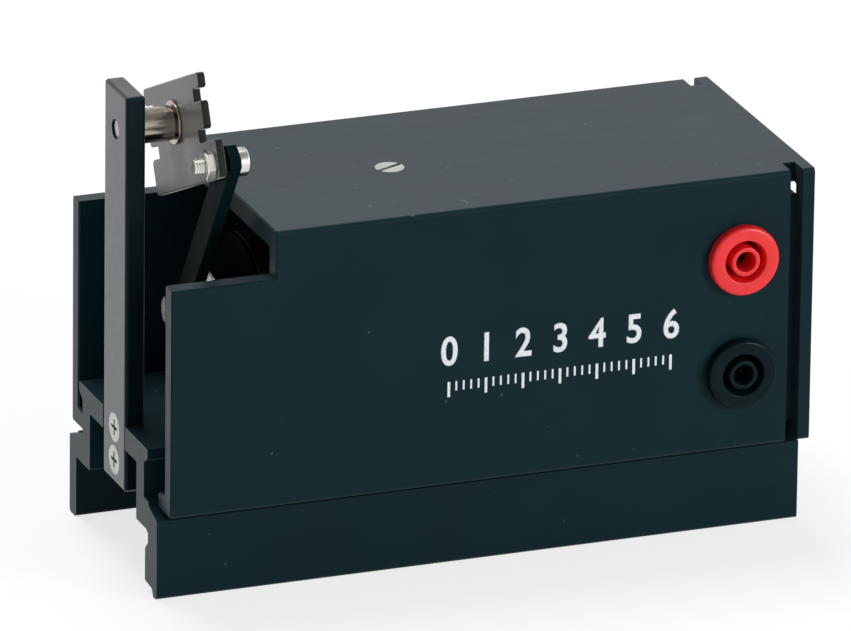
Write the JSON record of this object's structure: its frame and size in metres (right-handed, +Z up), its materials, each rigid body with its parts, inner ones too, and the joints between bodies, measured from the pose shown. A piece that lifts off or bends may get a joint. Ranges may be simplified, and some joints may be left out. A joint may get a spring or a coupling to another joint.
{
  "type": "wave drive unit of a ripple tank",
  "caption": "Motor housing on a rail base whose small crank and connecting rod rock a notched plate on a post, to drive wave dippers in a ripple tank.",
  "frame": {"origin": "on the floor, under the middle of the whole part's length and width", "axes": "+X along the base from the post to the sockets' end, +Y from the sockets' wall to the back, +Z up"},
  "size_m": [0.1328, 0.0586, 0.1013],
  "materials": {
    "black_aluminium": "black anodised, satin",
    "grey_paint": "dark grey, satin",
    "bright_steel": "zinc plated",
    "nickel": "nickel plated",
    "golden_can": "yellow passivated",
    "brass": "plain",
    "carbon": "dull dark grey",
    "black_plastic": "moulded, matt",
    "red_plastic": "moulded, glossy",
    "gloss_black_plastic": "moulded, glossy"
  },
  "bodies": {
    "base": {"base_profile": "black_aluminium", "hood": "black_aluminium", "end_panel": "black_aluminium", "post": "black_aluminium", "post_screws": "bright_steel", "post_anchor": "black_aluminium", "pivot_pin": "bright_steel", "pivot_clip": "bright_steel", "motor_can": "golden_can", "motor_front_cap": "black_plastic", "front_bearing": "brass", "rear_bearing": "brass", "motor_end_cap": "black_plastic", "motor_terminals": "brass", "motor_brushes": "carbon", "motor_magnets": "carbon", "motor_block": "black_plastic", "motor_block_screws": "bright_steel", "motor_grub_screw": "bright_steel", "hood_screw": "bright_steel", "socket_red": "red_plastic", "socket_black": "gloss_black_plastic", "contact_red": "brass", "contact_black": "brass", "socket_nuts": "black_plastic", "lead_red": "red_plastic", "lead_black": "gloss_black_plastic"},
    "rocker": {"pivot_bush": "nickel", "pivot_washer": "nickel", "rocker_plate": "grey_paint", "rocker_screw": "nickel", "rocker_nut": "nickel", "rocker_washer": "nickel"},
    "conrod": {"conrod": "black_aluminium", "crank_screw": "nickel", "crank_washers": "nickel"},
    "crank": {"crank_disc": "bright_steel", "crank_grub_screw": "bright_steel", "motor_shaft": "bright_steel", "armature": "carbon", "commutator": "brass"}
  },
  "joints": [
    {"name": "rocker_swing", "type": "hinge", "parent": "base", "child": "rocker", "pos_m": [-0.05443, 0.00055, 0.0873], "axis": [1, 0, 0], "range_deg": [-4.6, 4.6]},
    {"name": "conrod_pivot", "type": "hinge", "parent": "rocker", "child": "conrod", "pos_m": [-0.05212, -0.02043, 0.0858], "axis": [1, 0, 0], "range_deg": [-3.7, 3.7]},
    {"name": "crank_spin", "type": "hinge", "parent": "base", "child": "crank", "pos_m": [-0.04913, 0.0031, 0.0467], "axis": [1, 0, 0], "continuous": true}
  ],
  "couplings": [
    {"joint": "conrod_pivot", "follows": "rocker_swing", "ratio": -0.7777}
  ]
}
